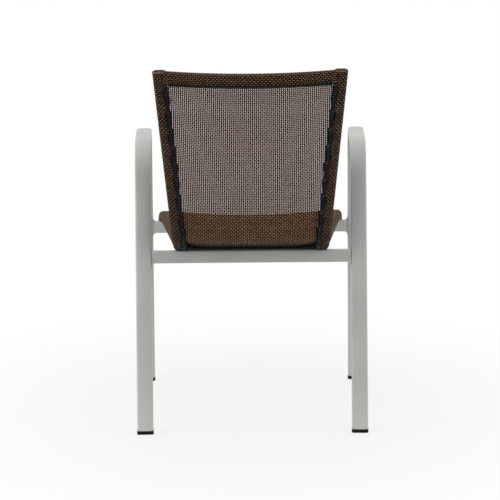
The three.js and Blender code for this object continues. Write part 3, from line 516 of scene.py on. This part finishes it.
def shell_path(length):
    """Ahead, height and angle of the side rails' centre line, by the length from their top."""
    length = np.asarray(length, float)
    heel_turned = np.clip(length - run_ends[0], 0, heel_run) / heel_bend
    lip_turned = np.clip(length - run_ends[2], 0, lip_run) / lip_bend
    on_heel, on_lip = back_angle + heel_turned, seat_angle - lip_turned
    on_seat = np.clip(length - run_ends[1], 0, seat_run)
    on_front = np.maximum(length - run_ends[3], 0)
    heel_ahead = back_top_x + back_run * math.cos(back_angle)
    heel_ahead = heel_ahead + heel_bend * (np.sin(on_heel) - math.sin(back_angle))
    heel_height = rail_top_z + back_run * math.sin(back_angle)
    heel_height = heel_height - heel_bend * (np.cos(on_heel) - math.cos(back_angle))
    lip_ahead = crest_reach + lip_bend * (-np.sin(on_lip) + math.sin(seat_angle))
    lip_height = crest_z + lip_bend * (np.cos(on_lip) - math.cos(seat_angle))
    runs = [length < end for end in run_ends[:3]]
    back_ahead = back_top_x + length * math.cos(back_angle)
    seat_ahead = seat_x + on_seat * math.cos(seat_angle)
    front_ahead = lip_ahead + on_front * math.cos(lip_angle)
    ahead = np.select(runs, [back_ahead, heel_ahead, seat_ahead], front_ahead)
    back_height = rail_top_z + length * math.sin(back_angle)
    seat_height = seat_z + on_seat * math.sin(seat_angle)
    front_height = lip_height + on_front * math.sin(lip_angle)
    height = np.select(runs, [back_height, heel_height, seat_height], front_height)
    return ahead, height, back_angle + heel_turned - lip_turned


def rail_half(ahead, height):
    """Half the distance between the centre lines of the side rails."""
    on_seat = half_heel + (half_crest - half_heel) * (ahead - seat_x) / (crest_reach - seat_x)
    up_back = half_heel + (half_top - half_heel) * (height - seat_z) / (rail_top_z - seat_z)
    return np.where(ahead > seat_x, on_seat, up_back)


def rail_station(side, length):
    """Centre and angle of one side rail, by the length from its top."""
    ahead, height, angle = (float(v) for v in shell_path(length))
    return place(side * float(rail_half(ahead, height)), ahead, height), angle


# the plug's rings, from its inner end out: how deep each lies and how far inside the rail's face
plug_rings = [(plug_depth, plug_slack), (gap, plug_slack), (gap, 0)]
plug_rings += [(-flush_cap / 2, 0), (-flush_cap, cap_edge)]
for side, name in ((1, "left"), (-1, "right")):
    rings = []
    for length, inset in plug_rings:
        hub, angle = rail_station(side, length - 2 * gap)
        wide, deep = rail_width - 2 * inset, rail_depth - 2 * inset
        outline = tube_outline(wide, deep, deep / 2)
        rings.append([hub + Vector((x, 0, 0)) + to_sitter(angle) * y for x, y in outline])
    plug = skin(f"{name}_flush_plug", rings, plastic)
    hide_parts(f"{name}_top_plug")

# Sling
# Two cloths of plastic-coated yarn in a plain weave, dark warp and lighter weft, every yarn of it
# modelled. Each is stretched across the panel, wrapped round both side rails and led back under them
# to the edge strips that hold it.
rail_flat = (rail_width - rail_depth) / 2
lift_off, tuck = 3 * MM, math.radians(10)
top_drop, top_bow, top_dip = 5 * MM, 30 * MM, 5 * MM
lumbar_clear, lumbar_bow, lumbar_power = 4.4 * MM, 12 * MM, 8
lumbar_ahead = rear_bar_ahead + bar_depth / 2 + lumbar_clear + rail_depth / 2
seat_sag, crest_sag = 16 * MM, 14 * MM
yarn_pitch, warp_width, weft_width, yarn_thick = 4.35 * MM, 3.4 * MM, 2.4 * MM, 1.1 * MM
half_columns = 66
dome_height, dome_shares = 0.4 * MM, (0.35, 0.68, 0.9)
ear_inside, ear_from = 5 * MM, 7 * MM
ear_closed, ear_turn = 5 * MM, math.radians(150)
# how far before the end of the heel bend the painted shade on the foot of the back begins, and the
# length over which it grows to full
foot_shade_from, foot_shade_fade = 50 * MM, 26 * MM

top_centre_z = shell_top - cloth - gap - top_drop - rail_width / 2 * math.cos(back_lean)
top_length = (rail_top_z - top_centre_z) / math.cos(back_lean)
lumbar_length = run_ends[1] + (lumbar_ahead - seat_x) / math.cos(seat_angle)
crest_length = run_ends[2]
front_length = run_ends[4] - lip_straight + gap
top_sag = top_bow * math.cos(back_lean) + top_dip * math.sin(back_lean)
cloth_radius = rail_depth / 2 + gap + cloth / 2
flat_run = 2 * rail_flat + lift_off
wrap_ends = np.cumsum([flat_run, math.pi * cloth_radius, 2 * rail_flat, cloth_radius * tuck])


def smooth(share):
    return (1 - np.cos(np.pi * np.clip(share, 0, 1))) / 2


def back_sag(length):
    """How far the back's cloth bows away from the sitter, and how flat it is across."""
    flat = smooth((length - top_length) / (lumbar_length - top_length))
    return top_sag + (lumbar_bow - top_sag) * flat, flat


def seat_sag_at(length):
    """The same for the seat's cloth, which also rolls over the front."""
    share = np.clip((length - lumbar_length) / (crest_length - lumbar_length), 0, 1)
    even_sag = lumbar_bow + (crest_sag - lumbar_bow) * share
    on_seat = even_sag + seat_sag * (1 - (2 * share - 1) ** 2) / 2
    on_lip = crest_sag * (1 - smooth((length - crest_length) / (front_length - crest_length)))
    return np.where(length > crest_length, on_lip, on_seat), 1 - smooth(share)


def across_rail(reach):
    """Place and normal on the wrapped cloth's section, by its length from where it meets a rail."""
    turn = np.clip(reach - wrap_ends[0], 0, math.pi * cloth_radius) / cloth_radius
    under = np.clip(reach - wrap_ends[1], 0, 2 * rail_flat)
    facing = turn + np.maximum(reach - wrap_ends[2], 0) / cloth_radius
    before = -rail_flat - lift_off + np.minimum(reach, flat_run)
    u = np.where(reach < wrap_ends[0], before, rail_flat - under)
    u = u + cloth_radius * np.sin(facing)
    v = cloth_radius * np.cos(facing)
    return u, v, np.sin(facing), np.cos(facing)


def cloth_place(x, length, sag_at):
    """World place, normal and reach round the rail, for points of the flat cloth."""
    ahead, height, angle = shell_path(length)
    half = rail_half(ahead, height)
    free = half - rail_flat - lift_off
    side = np.where(x < 0, -1.0, 1.0)
    reach = np.abs(x) - free
    sag, flat = sag_at(length)
    share = np.clip(x / free, -1, 1)
    bow = (1 - share**2) * (1 - flat) + (1 - share**lumbar_power) * flat
    steepness = 2 * share * (1 - flat) + lumbar_power * share ** (lumbar_power - 1) * flat
    slope = sag / free * steepness
    steep = np.hypot(1, slope)
    u, v, nu, nv = across_rail(np.maximum(reach, 0))
    wrapped = reach > 0
    px = np.where(wrapped, side * (half + u), x)
    pv = np.where(wrapped, v, cloth_radius - sag * bow)
    nx = np.where(wrapped, side * nu, -slope / steep)
    nv = np.where(wrapped, nv, 1 / steep)
    up = np.stack([np.zeros_like(angle), np.sin(angle), np.cos(angle)], -1)
    centre = np.stack([px, rear_edge - ahead, height], -1) + up * pv[..., None]
    normal = up * nv[..., None]
    normal[..., 0] = nx
    return centre, normal, reach


def weaving_tree():
    """Geometry nodes that draw a flat strand with capped ends along every line of yarn."""
    tree = bpy.data.node_groups.new("weaving", "GeometryNodeTree")
    for kind, names in (
        ("Geometry", ("Lines",)),
        ("Float", ("Warp width", "Weft width", "Yarn thickness")),
        ("Material", ("Warp yarn", "Weft yarn")),
    ):
        for name in names:
            tree.interface.new_socket(name, in_out="INPUT", socket_type=f"NodeSocket{kind}")
    tree.interface.new_socket("Cloth", in_out="OUTPUT", socket_type="NodeSocketGeometry")
    given = tree.nodes.new("NodeGroupInput").outputs
    marked = "GeometryNodeInputNamedAttribute"
    is_weft = add_node(tree, marked, {"Name": "weft"}, data_type="FLOAT")
    facing = add_node(tree, marked, {"Name": "facing"}, data_type="FLOAT_VECTOR")
    is_weft, facing = is_weft.outputs["Attribute"], facing.outputs["Attribute"]
    inputs = {"Geometry": given["Lines"], "Selection": is_weft}
    parted = add_node(tree, "GeometryNodeSeparateGeometry", inputs, domain="POINT")
    cloth = tree.nodes.new("GeometryNodeJoinGeometry")
    for part, width in (("Inverted", "Warp width"), ("Selection", "Weft width")):
        curves = add_node(tree, "GeometryNodeMeshToCurve", {"Mesh": parted.outputs[part]})
        inputs = {"Curve": curves.outputs["Curve"], "Normal": facing}
        turned = add_node(tree, "GeometryNodeSetCurveNormal", inputs, mode="FREE")
        half = worked_out(tree, "MULTIPLY", given[width], 0.5)
        inputs = {"Width": given["Yarn thickness"], "Bottom Height": half, "Top Height": half}
        section = add_node(tree, "GeometryNodeCurvePrimitiveQuadrilateral", inputs, mode="KITE")
        inputs = {"Curve": turned.outputs["Curve"], "Profile Curve": section.outputs["Curve"]}
        strands = add_node(tree, "GeometryNodeCurveToMesh", inputs | {"Fill Caps": True})
        tree.links.new(strands.outputs["Mesh"], cloth.inputs["Geometry"])
    real = add_node(tree, "GeometryNodeRealizeInstances", {"Geometry": cloth.outputs["Geometry"]})
    inputs = {"Geometry": real.outputs["Geometry"], "Material": given["Warp yarn"]}
    warps = add_node(tree, "GeometryNodeSetMaterial", inputs)
    inputs = {"Geometry": warps.outputs["Geometry"], "Material": given["Weft yarn"]}
    wefts = add_node(tree, "GeometryNodeSetMaterial", inputs | {"Selection": is_weft})
    add_node(tree, "NodeGroupOutput", {"Cloth": wefts.outputs["Geometry"]})
    return tree


weaving = weaving_tree()

glow_colour = (0.84, 0.52, 0.33)
# the second value is the share of the yarn's colour left where the painted shade is full
tone_share, darkest_shade_share, yarn_smoother, yarn_rougher = 0.12, 0.04, 0.06, 0.1
along_yarn, yarn_rubs, yarn_grain, yarn_relief = (330.0, 3.0), 700.0, 2400.0, (0.25, 0.2 * MM)


def yarn_material(name, dark, light, roughness, specular, metallic, glow_share):
    """Coated yarn: its tone changes a little from strand to strand and along each strand."""
    material = new_material(name, roughness, metallic, specular)
    tree = material.node_tree
    shader = tree.nodes["Principled BSDF"]
    strand = add_node(tree, "ShaderNodeAttribute", attribute_name="tone").outputs["Fac"]
    tone = worked_out(tree, "MULTIPLY_ADD", strand, tone_share, noise_at(tree, *along_yarn))
    # painted shade: towards the foot of the back the yarn is darkened nearly to black and lets no
    # light through, in place of the shade that falls in the heel
    painted_shade = add_node(tree, "ShaderNodeAttribute", attribute_name="painted_shade").outputs["Fac"]
    unshaded = run_between(tree, painted_shade, (0.0, 1.0), (1.0, darkest_shade_share), "LINEAR")
    colour = ramp_between(tree, tone, dark, light, noise_low, noise_high)
    shaded = add_node(tree, "ShaderNodeVectorMath", {0: colour, "Scale": unshaded}, operation="SCALE")
    tree.links.new(shaded.outputs["Vector"], shader.inputs["Base Color"])
    least, most = roughness - yarn_smoother, roughness + yarn_rougher
    vary(tree, noise_at(tree, yarn_rubs), shader.inputs["Roughness"], least, most)
    bump_from(tree, noise_at(tree, yarn_grain), shader, *yarn_relief)
    # a little of the light from the other side comes through the coating, warmed
    through = add_node(tree, "ShaderNodeBsdfTranslucent", {"Color": (*glow_colour, 1)})
    share = worked_out(tree, "MULTIPLY", unshaded, glow_share)
    show_mix(tree, share, shader.outputs["BSDF"], through.outputs["BSDF"], "Material Output")
    return material


warp_yarn = yarn_material(
    "warp_yarn",
    dark=(0.003, 0.002, 0.0015),
    light=(0.008, 0.005, 0.0035),
    roughness=0.45,
    specular=0.08,
    metallic=0.0,
    glow_share=0.11,
)
weft_yarn = yarn_material(
    "weft_yarn",
    dark=(0.22, 0.165, 0.105),
    light=(0.38, 0.29, 0.19),
    roughness=0.24,
    specular=0.2,
    metallic=0.9,
    glow_share=0.56,
)


def yarn_lines(centre, normal, valid, heave):
    """Points, normals and links of the yarns along the grids' first axis, cut where not valid."""
    linked = valid[:-1] & valid[1:]
    index = np.arange(valid.size).reshape(valid.shape)
    points = (centre + normal * heave[..., None]).reshape(-1, 3)
    return points, normal.reshape(-1, 3), np.stack([index[:-1][linked], index[1:][linked]], 1)


def yarn_mesh(name, grid, valid, shade_amount):
    """The lines that the yarns follow over a grid of cloth points, with what each point carries."""
    centre, normal = grid
    rows, columns = valid.shape
    parity = np.indices(valid.shape).sum(0) % 2
    over = np.where(parity == 0, 1.0, -1.0) * yarn_thick / 2
    swap = (1, 0, 2)
    warp = yarn_lines(centre, normal, valid, over)
    weft = yarn_lines(centre.transpose(swap), normal.transpose(swap), valid.T, -over.T)
    points, facing = (np.concatenate([warp[k], weft[k]]) for k in (0, 1))
    links = np.concatenate([warp[2], weft[2] + valid.size])
    luck = np.random.default_rng(len(name) * rows)
    tones = [np.tile(luck.normal(0, 1, columns), rows), np.tile(luck.normal(0, 1, rows), columns)]
    # the painted shade that each point carries, none by default
    painted_shade = np.broadcast_to(shade_amount, valid.shape)
    carried = {
        "tone": np.concatenate(tones),
        "painted_shade": np.concatenate([painted_shade.ravel(), painted_shade.T.ravel()]),
        "weft": np.repeat([0, 1], valid.size),
    }
    used, links = np.unique(links, return_inverse=True)
    lines = bpy.data.meshes.new(f"{name}_lines")
    lines.vertices.add(len(used))
    lines.vertices.foreach_set("co", points[used].astype(np.float32).ravel())
    lines.edges.add(links.size // 2)
    lines.edges.foreach_set("vertices", links.ravel().astype(np.int32))
    for label, values in carried.items():
        attribute = lines.attributes.new(label, "FLOAT", "POINT")
        attribute.data.foreach_set("value", values[used].astype(np.float32))
    attribute = lines.attributes.new("facing", "FLOAT_VECTOR", "POINT")
    attribute.data.foreach_set("vector", facing[used].astype(np.float32).ravel())
    return lines


def yarn_piece(name, grid, valid, shade_amount=0.0):
    loom = bpy.data.objects.new(f"{name}_loom", yarn_mesh(name, grid, valid, shade_amount))
    bpy.context.collection.objects.link(loom)
    modifier = loom.modifiers.new("weaving", "NODES")
    modifier.node_group = weaving
    given = {"Warp width": warp_width, "Weft width": weft_width, "Yarn thickness": yarn_thick}
    given |= {"Warp yarn": warp_yarn, "Weft yarn": weft_yarn}
    for socket in weaving.interface.items_tree:
        if socket.name in given:
            modifier[socket.identifier] = given[socket.name]
    evaluated = loom.evaluated_get(bpy.context.evaluated_depsgraph_get())
    woven = bpy.data.meshes.new_from_object(evaluated)
    bpy.data.objects.remove(loom)
    for label in ("facing", "weft", "custom_normal"):
        if label in woven.attributes:
            woven.attributes.remove(woven.attributes[label])
    woven.name = name
    # the nodes leave an empty slot before the two yarns
    woven.materials.pop(index=0)
    piece = bpy.data.objects.new(name, woven)
    bpy.context.collection.objects.link(piece)
    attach(piece, "root")
    return piece


columns_x = (np.arange(2 * half_columns + 1) - half_columns) * yarn_pitch


def cloth_grid(lengths, sag_at):
    length_at, x_at = np.meshgrid(lengths, columns_x, indexing="ij")
    *grid, reach = cloth_place(x_at, length_at, sag_at)
    return grid, reach, length_at


# the back's cloth starts over the rail ends and closes round and over them in a low dome
ear_rows = int((top_length + flush_cap) / yarn_pitch)
back_rows = np.arange(-ear_rows, (lumbar_length - gap - top_length) / yarn_pitch)
back_lengths = top_length + back_rows * yarn_pitch
rail_end = -flush_cap - gap
dome_lengths = [rail_end] * len(dome_shares) + [rail_end + cap_edge]
back_lengths = np.concatenate([dome_lengths, back_lengths])
grid, reach, length_at = cloth_grid(back_lengths, back_sag)
ahead, height = (float(v) for v in shell_path(rail_end)[:2])
side = np.sign(columns_x)
hub_x, hub_y = side * float(rail_half(ahead, height)), np.full_like(side, rear_edge - ahead)
hub = np.stack([hub_x, hub_y, np.full_like(side, height)], -1)
up_back = np.array([0, math.sin(back_lean), math.cos(back_lean)])
for row, share in enumerate(dome_shares):
    rise = math.sqrt(1 - share**2)
    grid[0][row] = hub + (grid[0][row] - hub) * share + up_back * dome_height * rise
    grid[1][row] = grid[1][row] * share + up_back * rise
on_ear = reach >= lift_off + yarn_pitch / 2
on_ear |= (reach >= -ear_inside) & (length_at <= top_length - ear_from)
round_ear = (length_at <= ear_closed) & (reach <= wrap_ends[2] + cloth_radius * ear_turn)
valid = (reach <= wrap_ends[3]) | round_ear
valid &= on_ear | (length_at >= top_length - gap)
# painted shade over the foot of the back, growing to nearly black at the heel, where shade falls
foot_painted_shade = smooth((length_at - run_ends[1] + foot_shade_from) / foot_shade_fade)
back = yarn_piece("back_weave", grid, valid, foot_painted_shade)
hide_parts("back_sling")

seat_lengths = np.arange(lumbar_length + gap, run_ends[4], yarn_pitch)
grid, reach, length_at = cloth_grid(seat_lengths, seat_sag_at)
valid = (reach <= wrap_ends[3]) & ((reach >= flat_run / 2) | (length_at <= front_length))
seat = yarn_piece("seat_weave", grid, valid)
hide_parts("seat_sling")

# Cloth over the end rails
# The same weave, drawn as bands of its own. The back's goes over the bowed top rail and down behind
# it, and the seat's goes round the front rail and back under the seat.
band_rise, top_flat, front_flat = 3 * MM, (0.42, 0.05), (0.47, 0.035)


def end_grid(length, flat, rise, back, dip, sign, path_end):
    """Cloth points round an end rail whose middle lies back and dips by the sizes given. The sign
    is 1 where the cloth goes on along the side rails' path, and -1 where it goes against it."""
    ahead, height, angle = (float(v) for v in shell_path(length))
    half = float(rail_half(ahead, height))
    free = half - rail_flat - lift_off
    steps = np.arange(1, path_end / yarn_pitch) * yarn_pitch
    path, x_at = np.meshgrid(steps, columns_x, indexing="ij")
    arc = math.pi * cloth_radius
    turn = np.clip(path - flat - rise, 0, arc) / cloth_radius
    under = np.clip(path - flat - rise - arc, 0, 2 * flat + rise)
    facing = turn + np.maximum(path - 3 * flat - 2 * rise - arc, 0) / cloth_radius
    u = np.minimum(path, flat + rise) - under + cloth_radius * np.sin(facing)
    v = cloth_radius * np.cos(facing)
    bow = np.maximum(1 - (x_at / free) ** 2, 0)
    down = np.array([0, -math.cos(angle), math.sin(angle)]) * sign
    up = np.array(to_sitter(angle))
    centre = np.stack([x_at, rear_edge - ahead + back * bow, height - dip * bow], -1)
    centre = centre + down * u[..., None] + up * v[..., None]
    normal = down * np.sin(facing)[..., None] + up * np.cos(facing)[..., None]
    return (centre, normal), np.abs(x_at) < half - rail_flat + yarn_pitch / 2


round_end = math.pi * cloth_radius + cloth_radius * tuck
top_end = 3 * rail_flat + 2 * band_rise + round_end
grid, valid = end_grid(top_length, rail_flat, band_rise, top_bow, top_dip, -1, top_end)
yarn_piece("top_band", grid, valid)
grid, valid = end_grid(front_length, 0, 0, 0, 0, 1, round_end)
yarn_piece("front_band", grid, valid)

# Edge strips of the back
# One black plastic moulding down each side rail: a thin web with a swollen clip every 41 mm, bent
# round the rail's inner side. Its rim lies over the cut edge of the wrapped cloth and clamps it.
clip_pitch, clip_length, clip_web, clip_swell = 41 * MM, 38 * MM, 0.9 * MM, 2.6 * MM
clip_rise, clip_fall, rim_over = 0.24, 0.34, 3 * MM
rim_start, strip_edge, strip_turn, rim_end = (math.radians(a) for a in (5, 14, 115, 22))
strip_inner, strip_below_band, strip_step = rail_depth / 2 + gap, 4.5 * MM, 1.5 * MM
inner_steps, outer_steps, strip_sharp = 10, 16, 60
strip_from = top_length + rail_flat + strip_inner + strip_below_band
strip_to = run_ends[0] + clip_length
clip_count = int((strip_to - strip_from + clip_pitch - clip_length) / clip_pitch)
clips_spare = strip_to - strip_from - clip_count * clip_pitch + clip_pitch - clip_length
clip_first = strip_from + clips_spare / 2


def strip_section(thick):
    """The moulding's section as radius and turn round the rail's inner end, by its thickness."""
    section = []
    for k in range(inner_steps + 1):
        section.append((strip_inner, strip_edge + (strip_turn - strip_edge) * k / inner_steps))
    for k in range(outer_steps + 1):
        turn = strip_turn + (rim_start - strip_turn) * k / outer_steps
        near_rim = float(1 - smooth((turn - rim_start) / (rim_end - rim_start)))
        section.append((strip_inner + thick + max(rim_over - thick, 0) * near_rim, turn))
    over_cloth = strip_inner + cloth + 2 * gap
    return section + [(over_cloth, rim_start), (over_cloth, strip_edge)]


for side, name in ((1, "left"), (-1, "right")):
    rings = []
    for length in np.arange(strip_from, strip_to, strip_step):
        share = ((length - clip_first) % clip_pitch) / clip_length
        swell = smooth(share / clip_rise) * (1 - smooth((share - clip_fall) / (1 - clip_fall)))
        hub, angle = rail_station(side, length)
        ring = []
        for radius, turn in strip_section(clip_web + clip_swell * float(swell)):
            inward = Vector((-side * (rail_flat + radius * math.sin(turn)), 0, 0))
            ring.append(hub + inward - to_sitter(angle) * radius * math.cos(turn))
        rings.append(ring)
    strip = skin(f"{name}_clip_strip", rings, plastic, strip_sharp)
    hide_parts(f"{name}_back_strip")

# Lumbar rail
# A dark coated tube a little below the side rails, where the two cloths meet. Its upper side is
# drawn down along the cloth, and it is welded in at each end.
lumbar_x, lumbar_z = (float(v) for v in shell_path(lumbar_length)[:2])
lumbar_half = float(rail_half(lumbar_x, lumbar_z)) - rail_flat - rail_depth / 2 - gap
lumbar_free = lumbar_half + rail_depth / 2 + gap - lift_off
lumbar_stations, round_steps = 61, 28
# each weld's sections, tapering away under the rail: how far out, top, bottom and half depth, in mm
weld_sections = ((1.8, -5.8, -18, 7), (4.5, -9.5, -16, 5), (6, -11.5, -14, 3))
sections = []
for x in np.linspace(-lumbar_half, lumbar_half, lumbar_stations):
    drop = lumbar_bow * max(0, 1 - abs(x / lumbar_free) ** (2 * lumbar_power))
    sections.append((x, rail_depth / 2 - drop, -lumbar_bow - rail_depth / 2, rail_depth / 2))
for beyond, top, bottom, deep in weld_sections:
    for side, at in ((1, len(sections)), (-1, 0)):
        x = side * (lumbar_half + beyond * MM)
        sections.insert(at, (x, top * MM, bottom * MM, deep * MM))
rings = []
for x, top, bottom, deep in sections:
    centre = place(x, lumbar_x, lumbar_z + (top + bottom) / 2)
    tall = (top - bottom) / 2
    turns = [2 * math.pi * i / round_steps for i in range(round_steps)]
    rings.append([centre + Vector((0, math.cos(a) * deep, math.sin(a) * tall)) for a in turns])
lumbar = skin("lumbar_tube", rings, dark_coat)
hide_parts("lumbar_rail")
